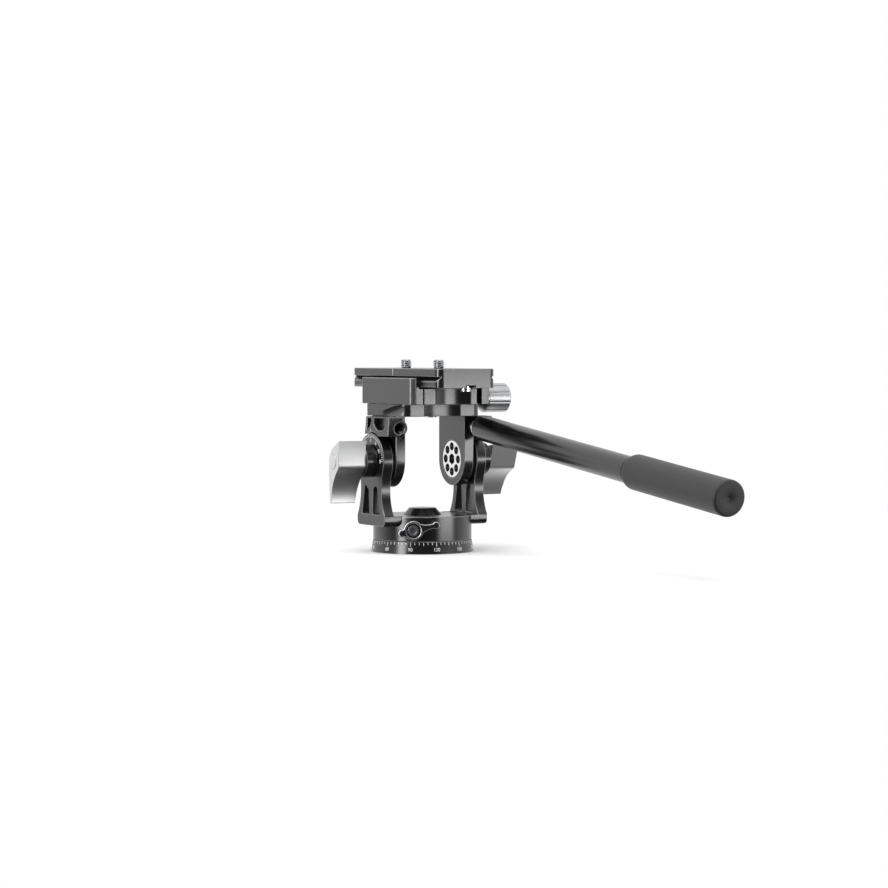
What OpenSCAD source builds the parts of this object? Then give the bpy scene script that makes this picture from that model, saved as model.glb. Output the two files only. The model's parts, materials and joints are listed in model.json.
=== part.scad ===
// Two-way pan tilt head with a fork, a tilting cradle, a dovetail clamp and a pan handle.
// Millimetres. Origin at the centre of the base's underside, +Z up, +Y towards the lens,
// +X to the operator's right. The tilt axis runs along X.

/* [Base and pan] */
// Diameter of the base at its foot
base_d = 60; // [57:0.5:70]
// Setback of the graduated cone from its foot to its top
base_flare = 1.1; // [0.5:0.1:1.5]
// Height of the base
base_h = 7; // [6.5:0.5:10]
// Setback of the turning pan body from the top of the cone
pan_inset = 0.1; // [0:0.05:0.4]
// Height of the pan body
pan_h = 14.1; // [13.5:0.1:17]
// Radius of the spindle that the pan body turns on
spindle_r = 10; // [9:0.25:11]
// Wall of the bronze bush round the spindle
pan_bush_wall = 1.4; // [1:0.1:1.7]
// Width of the washer that the pan body slides on
pan_washer_w = 7; // [5:0.5:8]
// Thickness of the spindle's flange
spindle_flange_t = 3.2; // [2.5:0.1:3.6]
// Radius of the tripod thread's bore
tripod_thread_r = 4.1; // [3:0.1:4.8]
// Outer radius of the thread insert
thread_insert_r = 7; // [6:0.25:7.5]
// Length of the thread insert
thread_insert_l = 9.2; // [8:0.1:10]
// Foot diameter of the cone cap on the spindle
cap_d = 23; // [22.5:0.5:26]
// Top diameter of the cone cap
cap_top_d = 15.5; // [12:0.5:20]
// Height of the cone cap
cap_h = 4.4; // [3.5:0.1:5.5]

/* [Fork] */
// Height of the tilt axis above the foot of the base
tilt_z = 53.4; // [52:0.1:58]
// Inner face of a fork arm from the centre plane
arm_in = 27.6; // [27.4:0.1:29]
// Thickness of a fork arm
arm_t = 6.4; // [5.5:0.1:7.5]
// Radius of a fork arm's round head
arm_head_r = 15.9; // [14.5:0.1:16.4]
// Radius of the hollow flank that runs out of the head
arm_flank_r = 28; // [26:0.5:30]
// Depth of the waist below the tilt axis
arm_waist_drop = 16.5; // [15.5:0.1:17.5]
// Length of a fork arm's foot along Y
foot_l = 34.4; // [32:0.2:36]
// Depth that a foot is let into the side of the pan body
foot_grip = 7.8; // [7:0.1:8.4]
// Depth of a foot below the top of the pan body
foot_depth = 5.6; // [4.5:0.1:6.5]
// Corner radius under a foot
foot_corner_r = 3; // [1:0.25:4]
// Width of the rib between the windows of an arm at their sill
arm_rib = 4.2; // [3:0.2:5]
// Width of the rib between the windows of an arm at their top
arm_rib_top = 5.8; // [4.6:0.2:6.6]
// Width of a window at its sill
window_low = 8.7; // [7:0.1:9.5]
// Width of a window at its top
window_top = 4.8; // [4:0.1:5.6]
// Height of the windows
window_h = 16.6; // [14:0.1:17]
// Fall of a window's top towards the middle rib
window_roof = 2.2; // [0.6:0.1:3]
// Height of the sill under the windows above the pan body
arm_sill = 1.2; // [0.8:0.1:2]

/* [Tilt axles and knobs] */
// Radius of a tilt axle
axle_r = 4; // [3.5:0.1:4.4]
// Radius of an axle's flange disc
axle_disc_r = 10.9; // [10:0.1:11.5]
// Thickness of an axle's flange disc
axle_disc_t = 2.5; // [2:0.1:3]
// Number of spanner holes in the flange disc
disc_holes = 8; // [6:1:8]
// Radius of a spanner hole
disc_hole_r = 2.35; // [1.8:0.05:2.4]
// Radius of the circle of spanner holes
disc_hole_pitch_r = 7.4; // [7.2:0.1:7.5]
// Wall of the polymer bush in a cheek
tilt_bush_wall = 1.3; // [1:0.1:1.4]
// Outer radius of the friction washer between cheek and arm
friction_washer_r = 13.6; // [10:0.1:14]
// Thickness of the thrust washer outside an arm
thrust_washer_t = 0.8; // [0.5:0.1:1.2]
// Radius of the thrust washer outside an arm
thrust_washer_r = 8; // [6:0.25:9]
// Radius of a tilt knob's black hub
hub_r = 9.5; // [8.5:0.1:10.5]
// Length of a tilt knob's hub
hub_l = 6.2; // [5:0.1:7]
// Length of a tilt knob along the axis
knob_l = 17.6; // [16:0.1:19]
// Height of a tilt knob above the axis
knob_top = 12; // [10.5:0.1:13]
// Reach of a tilt knob's tail below the axis
knob_tail = 24.2; // [22:0.1:25.5]
// Reach of a tilt knob behind the axis
knob_rear = 7.8; // [7:0.1:9]
// Reach of a tilt knob in front of the axis
knob_front = 4.6; // [4.5:0.1:6]
// Radius of the finger scoop behind the tail
knob_scoop_r = 25.6; // [22:0.2:32]
// Thickness of the tail's tip
knob_tip = 1.7; // [1.2:0.1:2.5]
// Taper of the tail's inner edge
knob_taper = 2.4; // [0.5:0.1:4]
// Radius of the round cap in a knob's end
knob_cap_r = 4.3; // [3.5:0.1:4.4]
// Turn of the right knob's tail towards the front, in degrees
right_knob_turn = 20; // [0:1:60]

/* [Cradle] */
// Inner face of a cheek from the centre plane
cheek_in = 19.4; // [18.5:0.1:20]
// Thickness of a cheek
cheek_t = 6.1; // [5.8:0.1:6.6]
// Half width of a cheek along Y
cheek_half = 15.5; // [14.5:0.1:16]
// Underside of the cradle's top plate above the tilt axis
cradle_rise = 25.7; // [25:0.1:28]
// Thickness of the cradle's top plate
cradle_t = 6.9; // [6:0.1:8]
// Half width of the top plate along X
cradle_half_w = 26; // [25.5:0.1:27]
// Half length of the top plate along Y
cradle_half_l = 24.5; // [22:0.5:24.5]
// Corner radius of the top plate
cradle_corner_r = 6; // [4:0.5:8]
// Depth of the hollow in the ends of the top plate
scallop_depth = 2.8; // [1:0.1:3]
// Radius of the hollow in the ends of the top plate
scallop_r = 29; // [25:1:40]
// Reach of the truss in front of the tilt axis
truss_front = 7.5; // [6:0.1:9]
// Gap between the truss and the arm's round head
truss_gap = 1; // [0.5:0.1:1.5]
// Height of the truss's straight lower edge above the tilt axis
truss_low = 14.3; // [13.5:0.1:15.5]
// Depth of the pockets in the truss's outer face
truss_pocket = 3.4; // [2:0.1:3.6]
// Wall left round the pockets of the truss
truss_wall = 0.9; // [0.7:0.1:1.2]
// Radius of a handle boss
boss_r = 5; // [4.5:0.1:5.4]
// Height of a handle boss's seat above the tilt axis
boss_rise = 19; // [18:0.1:19.5]
// Distance that a handle boss stands out of the truss behind it
boss_proud = 1.9; // [0.5:0.1:2]
// Thickness of the truss's outer skin beside a handle boss
truss_skin = 2.2; // [1.6:0.1:2.3]
// Distance of a handle boss from the centre plane
boss_x = 26.5; // [26:0.1:26.8]
// Distance of a handle boss's seat behind the tilt axis
boss_y = 22; // [20:0.1:23]
// Slope of the hollow under the top plate's side edge, in degrees
scoop_slope = 11; // [8:0.5:14]
// Depth of the hollow under the top plate's side edge
scoop_depth = 1.6; // [1:0.1:2]

/* [Handle] */
// Slope of the handle below level, in degrees
handle_slope = 6.6; // [0:0.2:10]
// Radius of the handle's thread
handle_thread_r = 3; // [2.5:0.1:3.5]
// Depth of the handle's thread in a boss
handle_thread_depth = 12; // [9:0.5:13]
// Radius of the polished washer under the handle
handle_washer_r = 6.5; // [5:0.1:7]
// Thickness of the polished washer under the handle
handle_washer_t = 2.3; // [1.5:0.1:3]
// Outer radius of the handle tube
tube_r = 7.4; // [6.5:0.1:7.5]
// Wall of the handle tube
tube_wall = 1.5; // [1:0.1:2]
// Length of the handle from its seat to the grip's end
handle_l = 254.6; // [200:0.2:320]
// Length of the grip
grip_l = 90; // [70:1:120]
// Outer radius of the grip
grip_r = 9.6; // [9:0.1:12]
// Length of the threaded plug in the front of the tube
plug_l = 18; // [12:1:30]

/* [Clamp and plate] */
// Half length of the clamp along Y
clamp_half_l = 32.3; // [30:0.1:36]
// Outer face of the fixed jaw from the centre plane
clamp_left = 24.2; // [22:0.1:25.5]
// Outer face of the clamp body on the knob's side
clamp_right = 20.5; // [20:0.1:20.8]
// Height of the clamp's floor above its underside
clamp_floor = 9.4; // [9:0.1:11]
// Depth of the hollow in the ends of the clamp
clamp_scallop_depth = 4; // [2:0.1:5]
// Radius of the hollow in the ends of the clamp
clamp_scallop_r = 19.5; // [18:0.5:26]
// Width of the groove between the fixed jaw and the clamp's floor block
jaw_line = 0.8; // [0.4:0.1:1.2]
// Gap between the jaws and the plate's top flange
jaw_gap = 0.9; // [0.5:0.1:1.2]
// Inner face of the moving jaw below its lip
jaw_in = 22.3; // [22:0.1:22.8]
// Outer face of the moving jaw
jaw_out = 28.5; // [27.5:0.1:30]
// Half length of the moving jaw along Y
jaw_half_l = 31; // [28:0.5:33]
// Chamfer on the upright corners of clamp and jaw
corner_cut = 2.5; // [1:0.1:3]
// Radius of the plate's corners
plate_corner_r = 4.5; // [2:0.1:6]
// Half width of the dovetail plate
plate_half_w = 19; // [18.9:0.05:19.1]
// Length of the dovetail plate
plate_l = 107; // [100:1:120]
// Thickness of the dovetail plate
plate_t = 11.1; // [10.6:0.1:12]
// Thickness of the plate above its groove
plate_top_t = 4.5; // [4:0.1:5]
// Depth of the plate's dovetail groove
dovetail_depth = 2.4; // [2:0.1:2.8]
// Height of the clamp screw above the clamp's underside
screw_rise = 3.2; // [3:0.1:4.2]
// Radius of the clamp screw
clamp_screw_r = 2.5; // [2:0.1:2.6]
// Radius of the clamp knob
clamp_knob_r = 8.7; // [8:0.1:9.5]
// Length of the clamp knob's gripping band
clamp_knob_l = 15.5; // [12:0.5:16]
// Number of flutes in the clamp knob
knob_flutes = 10; // [8:1:14]
// Distance of each guide pin from the clamp's middle
guide_y = 20; // [16:0.5:23]
// Radius of a guide pin
guide_r = 2; // [1.5:0.1:2.2]
// Outer radius of a jaw spring
spring_r = 3; // [2.9:0.1:3.2]
// Wire radius of a jaw spring
spring_wire_r = 0.35; // [0.25:0.05:0.4]
// Turns of a jaw spring
spring_turns = 4; // [3:1:4]
// Radius of a camera screw's thread
camera_screw_r = 3.17; // [2.9:0.01:3.3]
// Height of a camera screw above the plate
camera_screw_up = 5; // [4:0.5:6]
// Radius of a camera screw's captive neck
camera_neck_r = 2.6; // [2:0.1:2.8]
// Distance of each camera screw from the plate's middle
camera_screw_y = 20; // [14:1:28]
// Run of the camera slot beyond each screw
slot_run = 12; // [8:0.5:14]

/* [Pan lock] */
// Direction of the lock lever round the pan axis, in degrees from +X
lock_angle = -127.4; // [-135:0.1:-90]
// Radius of the lever's hub
lever_hub_r = 5.6; // [5:0.1:6]
// Reach of the lever's long end
lever_long = 15.5; // [13:0.1:18]
// Reach of the lever's short end
lever_short = 8.9; // [8:0.1:10]
// Rise of the lever's long end above level, in degrees
lever_rise = 14; // [0:1:30]
// Thickness of the lever
lever_t = 2.8; // [2:0.1:3.5]
// Radius of the lever's round ends
lever_tip_r = 2.1; // [1.5:0.1:2.5]
// Radius of the hollow flanks of the lever
lever_flank_r = 13; // [10:0.5:20]
// Radius of the lock screw
lock_screw_r = 2.5; // [2:0.1:2.8]
// Radius of the lock screw's head
lock_head_r = 3.2; // [3:0.1:3.6]
// Radius of the recess round the lock screw's head
lock_recess_r = 4.2; // [3.8:0.1:4.5]

/* [Fits] */
// Gap between bodies that move past each other
body_gap = 0.3; // [0.2:0.05:0.5]
// Gap of a running fit or a thrust face
run_gap = 0.05; // [0.02:0.01:0.1]
// Gap of a pressed or threaded fit
press_gap = 0.02; // [0.01:0.01:0.05]

/* [Hidden] */
$fn = 96;
// Length added to a cutter where it runs out of the piece
past = 1;

// Stack of the pan joint, from the floor up
base_r = base_d / 2;
base_top_r = base_r - base_flare;
pan_r = base_top_r - pan_inset;
pan_z0 = base_h + body_gap;
pan_z1 = pan_z0 + pan_h;
flange_z0 = base_h - spindle_flange_t;
insert_z0 = body_gap;
insert_z1 = insert_z0 + thread_insert_l;
pan_bush_r = spindle_r + run_gap + pan_bush_wall;
// Depth of the cap's foot below the top of the pan body, so that no gap shows under it
cap_sink = 0.3;
cap_z0 = pan_z1 - cap_sink;
// Recess in the pan body's top for the cap's washer
cap_recess_r = cap_d / 2 + body_gap;
cap_recess_depth = 1.2;
cap_recess_z = pan_z1 - cap_recess_depth;
// Threaded stub under the cap
cap_stub_r = 4;
cap_stub_l = 7;
// Ring groove for the pan washer in the top of the base
pan_washer_rim = 1.8;
pan_washer_r1 = pan_r - pan_washer_rim;
pan_washer_r0 = pan_washer_r1 - pan_washer_w;
pan_washer_sink = 1;
// Ring of base left between the washer and the spindle's flange
flange_rim = 2;
spindle_flange_r = pan_washer_r0 - flange_rim;
// Countersunk screws that hold the spindle to the base
spindle_screw_n = 3;
spindle_screw_r = 1.5;
spindle_screw_head_r = 3;
spindle_screw_pitch_r = (thread_insert_r + spindle_flange_r) / 2 + 1;

// Stack of the tilt joint, outwards along X
arm_out = arm_in + arm_t;
cheek_out = cheek_in + cheek_t;
disc_recess = 0.2;
disc_x0 = cheek_in + disc_recess;
disc_x1 = disc_x0 + axle_disc_t;
pocket_x1 = disc_x1 + run_gap * 2;
tilt_bush_r = axle_r + run_gap + tilt_bush_wall;
washer_x1 = arm_out + thrust_washer_t;
hub_x0 = washer_x1 + run_gap;
knob_x0 = hub_x0 + hub_l;
knob_x1 = knob_x0 + knob_l;
// Depth of an axle's thread in its knob
axle_in_knob = 9;
axle_x1 = knob_x0 + axle_in_knob;
knob_cap_t = 1.2;
knob_cap_proud = 0.2;
// Hexagon key sockets, across corners
axle_hex_r = 3.3;
axle_hex_depth = 6;
lock_hex_r = 1.9;
mount_hex_r = 2.6;

// Feet of the fork and their screws
foot_z0 = pan_z1 - foot_depth;
foot_in = pan_r - foot_grip;
foot_screw_x = foot_in + foot_grip / 3;
foot_screw_y = 8;
foot_screw_r = 1.5;
foot_head_r = 2.6;
foot_head_l = 2.6;
// The flank touches the head where the line between their centres cuts it
arm_flank_y = sqrt(pow(arm_head_r + arm_flank_r, 2) - pow(arm_waist_drop, 2));
arm_neck_drop = arm_waist_drop * arm_head_r / (arm_head_r + arm_flank_r);

// Cradle stack
cradle_z0 = tilt_z + cradle_rise;
cradle_z1 = cradle_z0 + cradle_t;
truss_r = arm_head_r + truss_gap;
boss_root = 8;
boss_chamfer = 0.7;
// Distance of the truss's rear face behind the tilt axis, square to the handle
function truss_rear(rise) = boss_y + (rise - boss_rise) * tan(handle_slope);
boss_z = tilt_z + boss_rise;
scoop_r = 5;
cheek_screw_x = cheek_in + cheek_t / 2;
cheek_screw_ys = [-4.5, 10];
cheek_screw_r = 1.6;
cheek_screw_head_r = 3.2;
cheek_screw_l = 14;

// Clamp and plate stack
floor_z = cradle_z1 + clamp_floor;
plate_z0 = floor_z + body_gap;
plate_z1 = plate_z0 + plate_t;
plate_neck = plate_half_w - dovetail_depth;
groove_z1 = plate_z1 - plate_top_t;
// Short upright wall at the bottom of the plate's groove
groove_wall = 0.4;
jaw_wall = plate_half_w + body_gap;
// Sideways gap on the 45 degree flank that keeps the bodies apart
flank_gap = body_gap * sqrt(2);
jaw_top = groove_z1 - jaw_gap;
jaw_h = jaw_top - cradle_z1;
// Upright edge of the jaws' lips
lip_edge = 0.2;
lip_top = jaw_top - lip_edge;
lip_in = plate_neck + (groove_z1 - groove_wall - lip_top) + flank_gap;
lip_low = lip_top - (jaw_wall - lip_in);
clamp_screw_z = cradle_z1 + screw_rise;
clamp_screw_in = 8;
clamp_scallop_x = 2.7;
jaw_line_x = 16.4;
jaw_line_depth = 1.5;
mount_screw_y = 12;
mount_screw_r = 2.5;
mount_head_r = 4.2;
mount_head_l = 4;
mount_screw_l = 17;
guide_z = clamp_screw_z + 1;
guide_in = 4;
spring_bore_r = spring_r + 0.2;
spring_sink = 5;
spring_jaw_sink = 2.5;
jaw_washer_t = 1;
stem_r = 5;
stem_l = 6;
cone_l = 4.5;
// Distance of the stop screws from the plate's ends
stop_inset = 6.5;
stop_screw_y = plate_l / 2 - stop_inset;
stop_screw_x = 2.5;
stop_head_r = 2.8;
stop_head_l = 3.5;
stop_screw_r = 1.6;
stop_screw_l = 6;
// Depth of the pockets in the plate's ends that the stop screws' heads sit in
stop_sink = 1.5;
stop_pocket_r = stop_head_r + 0.4;
slot_head_r = 6.2;
camera_head_r = 5.9;
camera_head_l = 2.4;
slot_floor = 3.4;
camera_slot_l = 2 * (camera_screw_y + slot_run);
// Solid foam behind the end of the tube
grip_end_t = 6;
// Rounded front of the foam, its step at the tube and its rounded end
grip_nose_l = 4.4;
grip_nose_r = grip_r - 0.5;
grip_lip = 0.9;
grip_edge = 1.6;
// Room between the end of the handle's stud and the end of its plug
stud_short = 2;

// Pan lock, measured out from the pan axis
lock_z = pan_z0 + pan_h * 0.46;
shoe_r0 = spindle_r + body_gap;
shoe_l = 5.5;
shoe_r1 = shoe_r0 + shoe_l;
lever_gap = 0.9;
lever_r0 = pan_r + lever_gap;
lever_r1 = lever_r0 + lever_t;
lock_head_l = 2.2;
lock_head_sink = 1.6;
lock_hex_floor = 0.6;

// Cylinder along X between two places
module rod_x(x0, x1, r) {
    translate([x0, 0, 0]) rotate([0, 90, 0]) cylinder(r = r, h = x1 - x0);
}

// Outline drawn in Y and Z, drawn out along X
module extrude_x(x0, x1) {
    translate([x0, 0, 0]) rotate([90, 0, 90]) linear_extrude(x1 - x0) children();
}

// Outline drawn in X and Z, drawn out along Y to both sides
module extrude_y(half) {
    translate([0, half, 0]) rotate([90, 0, 0]) linear_extrude(2 * half) children();
}

// Ring about Z
module ring(r0, r1, z0, z1) {
    translate([0, 0, z0]) difference() {
        cylinder(r = r1, h = z1 - z0);
        translate([0, 0, -past]) cylinder(r = r0, h = z1 - z0 + 2 * past);
    }
}

// Ring about X at the tilt axis
module tilt_ring(x0, x1, r0, r1) {
    translate([0, 0, tilt_z]) difference() {
        rod_x(x0, x1, r1);
        rod_x(x0 - past, x1 + past, r0);
    }
}

// The same piece on the left or on the right
module on_side(side) {
    if (side < 0) mirror([1, 0, 0]) children();
    else children();
}

// Centre of a circle of radius r through p and q, to the right of the way from p to q
function arc_centre(p, q, r) =
    let (m = (p + q) / 2, d = q - p, l = norm(d), h = sqrt(r * r - l * l / 4))
    m + h * [d[1], -d[0]] / l;

// Rectangle with cut corners, centred on the pan axis in Y
module cut_corners(x0, x1, half, cut) {
    polygon([[x0 + cut, -half], [x1 - cut, -half], [x1, -half + cut], [x1, half - cut],
        [x1 - cut, half], [x0 + cut, half], [x0, half - cut], [x0, -half + cut]]);
}

// Slab with round upright corners, centred on the pan axis
module round_corners(half_w, half_l, r, z0, z1) {
    translate([-half_w, -half_l + r, z0]) cube([2 * half_w, 2 * (half_l - r), z1 - z0]);
    translate([-half_w + r, -half_l, z0]) cube([2 * (half_w - r), 2 * half_l, z1 - z0]);
    for (side = [-1, 1], end = [-1, 1])
        translate([side * (half_w - r), end * (half_l - r), z0]) cylinder(r = r, h = z1 - z0);
}

// Hollows in the two ends of the plate and the clamp
module end_scallops(x, half, r, depth, z0, z1) {
    for (end = [-1, 1])
        translate([x, end * (half + r - depth), z0]) cylinder(r = r, h = z1 - z0);
}

// Frame of the handle: +Z runs back along the handle from its seat on the boss
module handle_frame(side) {
    translate([side * boss_x, -boss_y, boss_z]) rotate([90 + handle_slope, 0, 0]) children();
}

// Frame of the pan lock: +Z runs outwards, +Y sideways round the pan body, -X up
module lock_frame() {
    translate([0, 0, lock_z]) rotate([0, 0, lock_angle]) rotate([0, 90, 0]) children();
}

// Places of the spindle's screws
module spindle_screw_places() {
    for (i = [0 : spindle_screw_n - 1])
        rotate([0, 0, i * 360 / spindle_screw_n]) translate([spindle_screw_pitch_r, 0, 0]) children();
}

// Countersunk screw pointing up from z = 0, grown by a gap for its hole
module countersunk(r, head_r, l, grow) {
    translate([0, 0, -grow])
        cylinder(r1 = head_r + 3 * grow, r2 = r + grow, h = head_r - r + 2 * grow);
    cylinder(r = r + grow, h = l + grow);
}

// Fixed base with the graduated cone
module base_plate() color("#1b1b1d") difference() {
    cylinder(r1 = base_r, r2 = base_top_r, h = base_h);
    translate([0, 0, -past]) cylinder(r = thread_insert_r + press_gap, h = base_h + 2 * past);
    translate([0, 0, flange_z0]) cylinder(r = spindle_flange_r + press_gap, h = base_h);
    ring(pan_washer_r0 - press_gap, pan_washer_r1 + press_gap, base_h - pan_washer_sink, base_h + past);
    spindle_screw_places() countersunk(spindle_screw_r, spindle_screw_head_r, base_h, press_gap);
}

// Steel insert with the tripod thread
module tripod_thread_insert() color("#b9bcc0")
    ring(tripod_thread_r, thread_insert_r, insert_z0, insert_z1);

// Post that the pan body turns on
module pan_spindle() color("#8d9095") difference() {
    union() {
        translate([0, 0, flange_z0]) cylinder(r = spindle_flange_r, h = spindle_flange_t);
        translate([0, 0, base_h - past]) cylinder(r = spindle_r, h = cap_z0 - base_h + past);
    }
    translate([0, 0, flange_z0 - past])
        cylinder(r = thread_insert_r + press_gap, h = insert_z1 - flange_z0 + past);
    translate([0, 0, cap_z0 - cap_stub_l - press_gap])
        cylinder(r = cap_stub_r + press_gap, h = cap_stub_l + past);
    spindle_screw_places() translate([0, 0, flange_z0 - past])
        cylinder(r = spindle_screw_r + press_gap, h = spindle_flange_t + 2 * past);
}

module spindle_screws() color("#9a9da1")
    spindle_screw_places() countersunk(spindle_screw_r, spindle_screw_head_r, base_h - body_gap, 0);

// Washer that the pan body slides on
module pan_washer() color("#e8e4d8")
    ring(pan_washer_r0, pan_washer_r1, base_h - pan_washer_sink, pan_z0 - run_gap);

module cap_washer() color("#e8e4d8")
    ring(spindle_r + run_gap, cap_d / 2, cap_recess_z + run_gap, cap_z0);

// Cone cap that holds the pan body down
module spindle_cap() color("#1b1b1d") union() {
    translate([0, 0, cap_z0]) cylinder(r1 = cap_d / 2, r2 = cap_top_d / 2, h = cap_h);
    translate([0, 0, cap_z0 - cap_stub_l]) cylinder(r = cap_stub_r, h = cap_stub_l + past);
}

// Outline of a fork foot in Y and Z, with its lower corners rounded
module foot_outline(grow) {
    half = foot_l / 2 + grow;
    z0 = foot_z0;
    r = foot_corner_r + grow;
    translate([-half, z0 + r]) square([2 * half, pan_z1 - z0 - r]);
    translate([-half + r, z0]) square([2 * half - 2 * r, r + past]);
    for (end = [-1, 1]) translate([end * (half - r), z0 + r]) circle(r = r);
}

// Places of the fork's screws under the pan body
module foot_screw_places() {
    for (side = [-1, 1], end = [-1, 1])
        translate([side * foot_screw_x, end * foot_screw_y, 0]) children();
}

module pan_body() color("#202022") difference() {
    translate([0, 0, pan_z0]) cylinder(r = pan_r, h = pan_h);
    translate([0, 0, pan_z0 - past]) cylinder(r = pan_bush_r + press_gap, h = pan_h + 2 * past);
    translate([0, 0, cap_recess_z]) cylinder(r = cap_recess_r, h = cap_recess_depth + past);
    for (side = [-1, 1]) on_side(side) extrude_x(foot_in - press_gap, pan_r + past) {
        foot_outline(body_gap);
        translate([-foot_l / 2 - body_gap, pan_z1 - past]) square([foot_l + 2 * body_gap, 2 * past]);
    }
    foot_screw_places() {
        translate([0, 0, pan_z0 - past]) cylinder(r = foot_head_r + press_gap, h = foot_head_l + past);
        translate([0, 0, pan_z0]) cylinder(r = foot_screw_r + press_gap, h = pan_h);
    }
    lock_frame() cylinder(r = lock_screw_r + run_gap, h = pan_r + past);
}

module pan_bush() color("#b08d57") difference() {
    ring(spindle_r + run_gap, pan_bush_r, pan_z0, cap_recess_z);
    lock_frame() cylinder(r = lock_screw_r + run_gap, h = pan_r);
}

// Brass shoe that the lock screw presses on the spindle
module pan_lock_shoe() color("#c8a24a") lock_frame()
    translate([0, 0, shoe_r0]) cylinder(r = lock_screw_r, h = shoe_r1 - shoe_r0);

// Window of a fork arm behind or in front of its rib
module arm_window() {
    low = pan_z1 + arm_sill - tilt_z;
    top = low + window_h;
    polygon([[arm_rib / 2, low], [arm_rib / 2 + window_low, low],
        [arm_rib_top / 2 + window_top, top - window_roof * 0.4], [arm_rib_top / 2 + window_top * 0.65, top],
        [arm_rib_top / 2, top - window_roof]]);
}

// Fork arm: round head, hollow flanks, windows and a foot let into the pan body
module fork_arm(side) color("#2a2a2c") on_side(side) difference() {
    union() {
        extrude_x(arm_in, arm_out) translate([0, tilt_z]) circle(r = arm_head_r);
        extrude_x(arm_in, arm_out) difference() {
            translate([-foot_l / 2, pan_z1 - past])
                square([foot_l, tilt_z - arm_neck_drop - pan_z1 + past]);
            for (end = [-1, 1])
                translate([end * arm_flank_y, tilt_z - arm_waist_drop]) circle(r = arm_flank_r);
        }
        extrude_x(foot_in, arm_out) foot_outline(0);
    }
    extrude_x(arm_in - past, arm_out + past) translate([0, tilt_z]) {
        arm_window();
        mirror([1, 0]) arm_window();
    }
    translate([0, 0, tilt_z]) rod_x(arm_in - past, arm_out + past, axle_r + press_gap);
    foot_screw_places() translate([0, 0, foot_z0 - past])
        cylinder(r = foot_screw_r + press_gap, h = foot_depth);
}

module left_fork_arm() fork_arm(-1);
module right_fork_arm() fork_arm(1);

module fork_screws() color("#8d9095") foot_screw_places() {
    translate([0, 0, pan_z0 + press_gap]) cylinder(r = foot_head_r, h = foot_head_l - 2 * press_gap);
    translate([0, 0, pan_z0 + press_gap]) cylinder(r = foot_screw_r, h = pan_h - past - 2 * press_gap);
}

// Axle with the bright spanner disc, keyed to its fork arm
module tilt_axle(side) color("#d4d6d8") on_side(side) translate([0, 0, tilt_z]) difference() {
    union() {
        rod_x(disc_x0, disc_x1, axle_disc_r);
        rod_x(disc_x1 - past, axle_x1, axle_r);
    }
    for (i = [0 : disc_holes - 1]) rotate([i * 360 / disc_holes, 0, 0]) translate([0, 0, disc_hole_pitch_r])
        rod_x(disc_x0 - past, disc_x1 + past, disc_hole_r);
    translate([disc_x0 - past, 0, 0]) rotate([0, 90, 0])
        cylinder(r = axle_hex_r, h = axle_disc_t + past + axle_hex_depth, $fn = 6);
}

module left_tilt_axle() tilt_axle(-1);
module right_tilt_axle() tilt_axle(1);

// Friction washer between cheek and fork arm
module friction_washer(side) color("#3a3a3c") on_side(side)
    tilt_ring(cheek_out + run_gap, arm_in, axle_r + run_gap, friction_washer_r);

module left_friction_washer() friction_washer(-1);
module right_friction_washer() friction_washer(1);

module thrust_washer(side) color("#b9bcc0") on_side(side)
    tilt_ring(arm_out, washer_x1, axle_r + run_gap, thrust_washer_r);

module left_thrust_washer() thrust_washer(-1);
module right_thrust_washer() thrust_washer(1);

// Side view of a tilt knob: a sloped crown, a straight front and a scooped tail
module knob_outline() {
    shoulder = [-knob_rear, -knob_tail * 0.145];
    tip = [knob_front * 0.74, -knob_tail];
    tail_tip = tip - [knob_tip, 0];
    difference() {
        polygon([[-knob_rear, knob_top], [knob_front * 0.26, knob_top * 0.6],
            [knob_front * 0.96, knob_top * 0.15], [knob_front, -knob_tail * 0.45],
            tip, [-knob_rear, -knob_tail]]);
        translate(arc_centre(shoulder, tail_tip, knob_scoop_r)) circle(r = knob_scoop_r, $fn = 128);
    }
}

module tilt_knob(side, turn) color("#b9bbbe") on_side(side) translate([0, 0, tilt_z]) rotate([turn, 0, 0])
    difference() {
        extrude_x(knob_x0, knob_x1) knob_outline();
        extrude_y(knob_rear + past) polygon([[knob_x0, -knob_rear], [knob_x0 + knob_taper, -knob_tail - past],
            [knob_x0 - past, -knob_tail - past], [knob_x0 - past, -knob_rear]]);
        rod_x(knob_x0 - past, axle_x1 + press_gap, axle_r + press_gap);
        rod_x(knob_x1 - knob_cap_t - press_gap, knob_x1 + past, knob_cap_r + press_gap);
    }

module left_tilt_knob() tilt_knob(-1, 0);
module right_tilt_knob() tilt_knob(1, right_knob_turn);

// Black hub between a knob and its arm
module knob_hub(side) color("#151516") on_side(side)
    tilt_ring(hub_x0, knob_x0, axle_r + run_gap, hub_r);

module left_knob_hub() knob_hub(-1);
module right_knob_hub() knob_hub(1);

module knob_cap(side) color("#c6c8ca") on_side(side) translate([0, 0, tilt_z])
    rod_x(knob_x1 - knob_cap_t, knob_x1 + knob_cap_proud, knob_cap_r);

module left_knob_cap() knob_cap(-1);
module right_knob_cap() knob_cap(1);

// Side view of a cheek's truss, above the arm's round head and square to the handle behind
module truss_outline() {
    difference() {
        polygon([[-truss_rear(cradle_rise), cradle_rise], [-truss_rear(truss_low), truss_low],
            [truss_front, truss_low], [truss_front - 2, cradle_rise]]);
        circle(r = truss_r);
    }
}

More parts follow.
